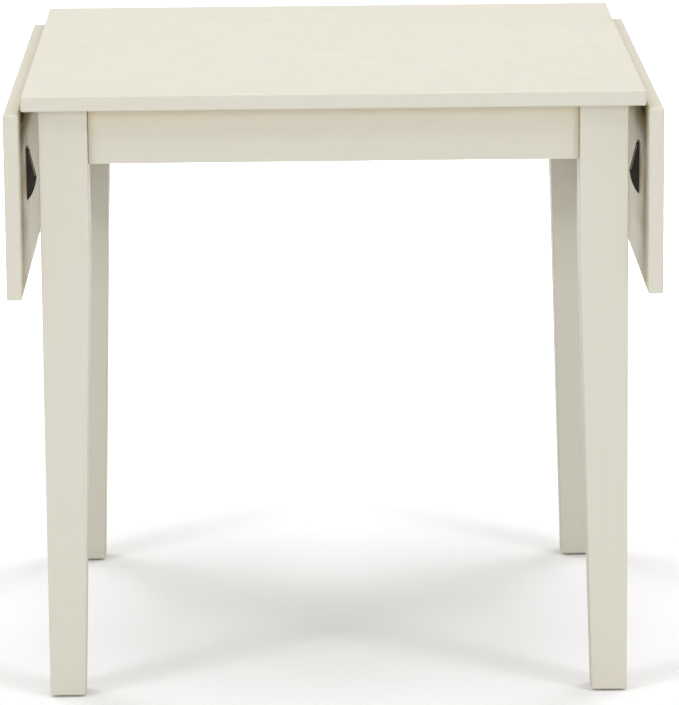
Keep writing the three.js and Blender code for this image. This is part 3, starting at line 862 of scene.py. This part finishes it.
def bead_pattern():
    """A round bead on the web's outer face, along the straight slope; its pale steel is a painted
    highlight.
    """
    start = Vector((CATCH_START, 0, KNUCKLE_RADIUS - CATCH_SHOULDER))
    end = Vector((CATCH_PEAK, 0, -CATCH_DEPTH))
    along = (end - start).normalized()
    inside = Vector((-along.z, 0, along.x))
    shift = (BEAD_FROM_START - BEAD_FROM_PEAK) / 2
    middle = (start + end) / 2 + BEAD_FROM_EDGE * inside + shift * along
    half = (end - start).length / 2 - (BEAD_FROM_START + BEAD_FROM_PEAK) / 2
    profile = [(BEAD_RADIUS * math.cos(a), sign * half + BEAD_RADIUS * math.sin(a))
               for sign, angles in ((-1, (-80, -50, -20, 0)), (1, (0, 20, 50, 80)))
               for a in (math.radians(angle) for angle in angles)]
    turn = along.to_track_quat("Z", "Y").to_matrix().to_4x4()
    on_web = Matrix.Translation(middle - Vector((0, CATCH_WEB / 2, 0)))
    return pattern(moved(lathe(profile, segments=16), on_web @ turn))


def catch_pattern():
    """Sheet bent square: a flange on the leaf, a web that stands off it, and a peg through the web."""
    outer, inner = -CATCH_WEB / 2, CATCH_WEB / 2
    web = ease_faces(plate_across_y(catch_web_outline(), outer, inner), 1, (outer, inner), CATCH_EASE)
    start, end, top = CATCH_START + JOIN_CLEAR, CATCH_END - JOIN_CLEAR, KNUCKLE_RADIUS - JOIN_CLEAR
    corners = rounded_rectangle((start, outer), (end, outer + CATCH_FLANGE), CATCH_FLANGE_CORNER)
    flange_outline = [point for point in corners if point[1] > 0] + [(start, 0), (end, 0)]
    low = KNUCKLE_RADIUS - CATCH_FLANGE_SHEET
    flange = ease_faces(plate_across_z(flange_outline, low, top), 2, (low,), CATCH_EASE)
    fillet = [(inner - JOIN_DEPTH, low + JOIN_DEPTH), (inner - JOIN_DEPTH, low - CATCH_BEND)]
    fillet += arc((inner + CATCH_BEND, low - CATCH_BEND), CATCH_BEND, 180, 90, 5)
    fillet += [(inner + CATCH_BEND, low + JOIN_DEPTH)]
    bend = plate_across_x(fillet, CATCH_BEND_START, CATCH_BEND_END)
    peg_end = CATCH_WEB / 2 + PEG_LENGTH
    peg_profile = ((PEG_RADIUS, 0), (PEG_RADIUS, peg_end - PEG_EASE), (PEG_RADIUS - PEG_EASE, peg_end))
    along_peg = axes_at((CATCH_PEAK, 0, -PEG_DEPTH), (1, 0, 0), (0, 0, -1), (0, 1, 0))
    peg = moved(lathe(peg_profile, segments=24), along_peg)
    return pattern(join(web, flange, bend, peg))


def notch_outline():
    """Open above; the inner wall is upright low down, and then slopes back to let the peg in."""
    peg_x, peg_z = ARM_PIVOT_IN + CATCH_PEAK, ARM_PIVOT_DOWN - PEG_DEPTH
    floor = peg_z - PEG_RADIUS - NOTCH_PLAY_UNDER
    inner = peg_x - PEG_RADIUS - NOTCH_PLAY_IN
    outer = peg_x + PEG_RADIUS + NOTCH_PLAY_OUT
    top = floor + ARM_TIP_WIDTH
    back = inner - NOTCH_LEAD * (ARM_TIP_WIDTH - NOTCH_LIP)
    return [(inner, floor), (outer, floor), (outer, top), (back, top), (inner, floor + NOTCH_LIP)]


def arm_pattern():
    """Drawn level around its pivot, reaching out along X."""
    near = CATCH_WEB / 2 + ARM_GAP
    far = near + ARM_THICKNESS
    bend = (ARM_PIVOT_IN + ARM_BEND, ARM_PIVOT_DOWN - ARM_TIP_DEPTH)
    tip = (ARM_PIVOT_IN + ARM_TIP_END - ARM_TIP_WIDTH / 2, bend[1])
    arm = join(plate_across_y(round_bar((0, 0), bend, ARM_WIDTH), near, far),
               plate_across_y(round_bar(bend, tip, ARM_TIP_WIDTH), near, far))
    arm = cut(arm, plate_across_y(notch_outline(), near - CUT_LENGTH, far + CUT_LENGTH))
    return pattern(ease_faces(arm, 1, (near, far)))


def bracket_pattern(face_x, plate_far, below, above):
    """Around the pivot: a plate flat on the apron, and an ear that stands out along X to the pivot."""
    ear_near = CATCH_WEB / 2 + 2 * ARM_GAP + ARM_THICKNESS
    ear_far = ear_near + PLATE_THICKNESS
    front_x = face_x + PLATE_THICKNESS
    plate_outline = rounded_rectangle((ear_near, below), (plate_far, above), PLATE_CORNER)
    plate = ease_faces(plate_across_x(plate_outline, face_x, front_x), 0, (front_x,))
    root_x, root_z = face_x + EAR_IN_PLATE, EAR_RADIUS + EAR_FLARE
    ear_outline = [(root_x, root_z), (front_x, root_z)]
    ear_outline += arc((0, 0), EAR_RADIUS, EAR_ROUND_DEG, -EAR_ROUND_DEG, 14)
    ear_outline += [(front_x, -root_z), (root_x, -root_z)]
    ear = ease_faces(plate_across_y(ear_outline, ear_near, ear_far), 1, (ear_near, ear_far), EAR_EASE)
    return pattern(join(plate, ear))


def rivet_pattern():
    """Along Z, which points inward: two domed heads with the shank between them."""
    arm_face = CATCH_WEB / 2 + ARM_GAP - FIT_GAP
    ear_face = CATCH_WEB / 2 + 2 * ARM_GAP + ARM_THICKNESS + PLATE_THICKNESS + FIT_GAP
    dome = [(PIVOT_HEAD_RADIUS * math.cos(a), PIVOT_HEAD_THICKNESS * math.sin(a))
            for a in (math.radians(angle) for angle in (0, 20, 40, 60, 80))]
    near = [(radius, arm_face - height) for radius, height in reversed(dome)]
    far = [(radius, ear_face + height) for radius, height in dome]
    shank = [(PIVOT_RADIUS, arm_face), (PIVOT_RADIUS, ear_face)]
    return pattern(lathe(near + shank + far, segments=24))


def make_supports():
    catch, bead = catch_pattern(), bead_pattern()
    arm, rivet = arm_pattern(), rivet_pattern()
    ratios = {row["joint"]: row["ratio"] for row in frame["record"]["behaviour"]["couplings"]}
    flange_face = KNUCKLE_RADIUS - CATCH_FLANGE_SHEET
    catch_spots = [((x, CATCH_SCREWS_IN, flange_face), (0, 0, -1), SUPPORT_SCREW_RADIUS)
                   for x in CATCH_SCREWS_AT]
    for side, side_sign in SIDES.items():
        for end, end_sign in ENDS.items():
            name = f"{side}_{end}"
            pivot = joint_place(f"{name}_arm_swing")
            at_catch = leaf_axes(side, pivot.y, -end_sign)
            leaf = f"{side}_leaf"
            remake(f"leaf_catch_{name}", copied(catch, at_catch), BLACK_STEEL, leaf)
            # the bead's pale steel is a painted highlight
            make_piece(f"catch_bead_{name}", copied(bead, at_catch), HIGHLIGHT_STEEL, leaf)
            make_screws(f"catch_screws_{name}", PAN_SCREW, catch_spots, at_catch, BLACK_STEEL, leaf)
            at_pivot = axes_at(pivot, (side_sign, 0, 0), (0, -end_sign, 0), (0, 0, 1))
            hanging = at_pivot @ Matrix.Rotation(ratios[f"{name}_arm_swing"] * math.pi / 2, 4, "Y")
            remake(f"support_arm_{name}", copied(arm, hanging), BLACK_STEEL, f"{name}_arm")
            make_bracket(name, pivot, at_pivot, side_sign)
            along = at_pivot @ axes_at((0, 0, 0), (1, 0, 0), (0, 0, -1), (0, 1, 0))
            remake(f"arm_pivot_{name}", copied(rivet, along), ZINC_STEEL)


def make_bracket(name, pivot, at_pivot, side_sign):
    """The bracket and its four screws, which keep clear of the ear at the plate's near edge."""
    low, high = node_box(f"arm_bracket_{name}")
    face_x = side_sign * ((low.x if side_sign > 0 else high.x) - pivot.x)
    plate_far = max(abs(low.y - pivot.y), abs(high.y - pivot.y))
    below, above = low.z - pivot.z, high.z - pivot.z
    mesh = bracket_pattern(face_x, plate_far, below, above)
    remake(f"arm_bracket_{name}", copied(mesh, at_pivot), BLACK_STEEL)
    front_x = face_x + PLATE_THICKNESS
    edge, pitch = BRACKET_SCREW_EDGE, BRACKET_SCREW_PITCH
    places = ((edge, above - edge), (edge + pitch, above - edge), (edge + pitch / 2, above / 2),
              (edge, below + BRACKET_SCREW_LOW))
    spots = [((front_x, plate_far - inset, z), (1, 0, 0), SUPPORT_SCREW_RADIUS) for inset, z in places]
    make_screws(f"bracket_screws_{name}", PAN_SCREW, spots, at_pivot, BLACK_STEEL, "frame")


# ---- the table ---------------------------------------------------------------------------

def make_table():
    make_boards()
    make_aprons()
    glide, bolt = glide_pattern(), bolt_pattern()
    for side, side_sign in SIDES.items():
        for end, end_sign in ENDS.items():
            corner = f"{end}_{side}"
            make_leg(corner, side_sign, end_sign)
            make_glide(corner, glide)
            make_corner_block(corner, side_sign, end_sign)
            make_leg_bolt(corner, side_sign, end_sign, bolt)
    make_hinges()
    make_supports()


# ---- camera, floor and light -------------------------------------------------------------

CAMERA_AT = (-48.6, -6148.3, 1692.4)
CAMERA_YAW = 0.0092         # angles in radians; the camera looks along +Y and down
CAMERA_PITCH = 0.2133
CAMERA_ROLL = 0.0092
SENSOR_WIDTH = 36
LENS = 245.1

FLOOR_HALF = 30000
FLOOR_LIGHT = (0.95, 0.95, 0.96)
FLOOR_SHADE = (0.93, 0.93, 0.94)

BACKDROP_STRENGTH = 0.45
LIGHTS_AIM = Vector((0, 0, 0.4))    # lights are placed in metres
PAIRED_LIGHTS = (                   # name, azimuth, elevation, distance, size, watts
    ("front_low", 42, 15, 8, 2.0, 108),
    ("front_high", 50, 40, 8, 1.2, 56),
    ("rear", 135, 35, 8, 4.8, 140),
)


def make_camera():
    data = bpy.data.cameras.new("camera")
    data.sensor_width = SENSOR_WIDTH
    data.lens = LENS
    level, down = math.cos(CAMERA_PITCH), math.sin(CAMERA_PITCH)
    forward = Vector((math.sin(CAMERA_YAW) * level, math.cos(CAMERA_YAW) * level, -down))
    right = Vector((math.cos(CAMERA_YAW), -math.sin(CAMERA_YAW), 0))
    up = right.cross(forward)
    tilted_right = right * math.cos(CAMERA_ROLL) - up * math.sin(CAMERA_ROLL)
    tilted_up = right * math.sin(CAMERA_ROLL) + up * math.cos(CAMERA_ROLL)
    camera = bpy.data.objects.new("camera", data)
    camera.matrix_world = axes_at(METRES_PER_MM * Vector(CAMERA_AT), tilted_right, tilted_up, -forward)
    bpy.context.scene.collection.objects.link(camera)
    bpy.context.scene.camera = camera


def make_floor():
    half = FLOOR_HALF * METRES_PER_MM
    corners = ((-half, -half, 0), (half, -half, 0), (half, half, 0), (-half, half, 0))
    bm = bmesh.new()
    bm.faces.new([bm.verts.new(corner) for corner in corners])
    mesh = bpy.data.meshes.new("floor")
    bm.to_mesh(mesh)
    bm.free()
    n = Nodes("floor")
    n.paint(Base_Color=n.mix(n.rescale(n.noise(1.5), 0, 1), FLOOR_SHADE, FLOOR_LIGHT))
    n.shader.inputs["Roughness"].default_value = 0.9
    n.shader.inputs["Specular IOR Level"].default_value = 0.1
    mesh.materials.append(n.material)
    floor = bpy.data.objects.new("floor", mesh)
    bpy.context.scene.collection.objects.link(floor)


def around(azimuth, elevation, distance):
    """A place around the table; azimuth 0 is in front of it and +90 is on its right."""
    across, up = math.radians(azimuth), math.radians(elevation)
    level = math.cos(up)
    direction = Vector((math.sin(across) * level, -math.cos(across) * level, math.sin(up)))
    return LIGHTS_AIM + distance * direction


def soft_box(name, at, aim, size, watts):
    """A square light at one place, aimed at another; lengths are in metres."""
    data = bpy.data.lights.new(name, "AREA")
    data.shape = "SQUARE"
    data.size = size
    data.energy = watts
    light = bpy.data.objects.new(name, data)
    light.location = at
    light.rotation_euler = (at - aim).to_track_quat("Z", "Y").to_euler()
    bpy.context.scene.collection.objects.link(light)


def make_light():
    world = bpy.data.worlds.new("studio")
    world.use_nodes = True
    backdrop = world.node_tree.nodes["Background"]
    backdrop.inputs["Color"].default_value = (1, 1, 1, 1)
    backdrop.inputs["Strength"].default_value = BACKDROP_STRENGTH
    bpy.context.scene.world = world
    soft_box("overhead", around(azimuth=0, elevation=90, distance=2.6), LIGHTS_AIM, size=2.6, watts=47)
    soft_box("floor_behind", Vector((0, 2.5, 2.5)), Vector((0, 8, 0)), size=2.0, watts=200)
    soft_box("front_fill", around(azimuth=0, elevation=6, distance=8), LIGHTS_AIM, size=1.6, watts=72)
    for side, sign in SIDES.items():
        for name, azimuth, elevation, distance, size, watts in PAIRED_LIGHTS:
            at = around(sign * azimuth, elevation, distance)
            soft_box(f"{name}_{side}", at, LIGHTS_AIM, size, watts)
    bpy.context.scene.view_settings.view_transform = "Standard"


make_table()
make_camera()
make_floor()
make_light()

bpy.context.view_layer.update()
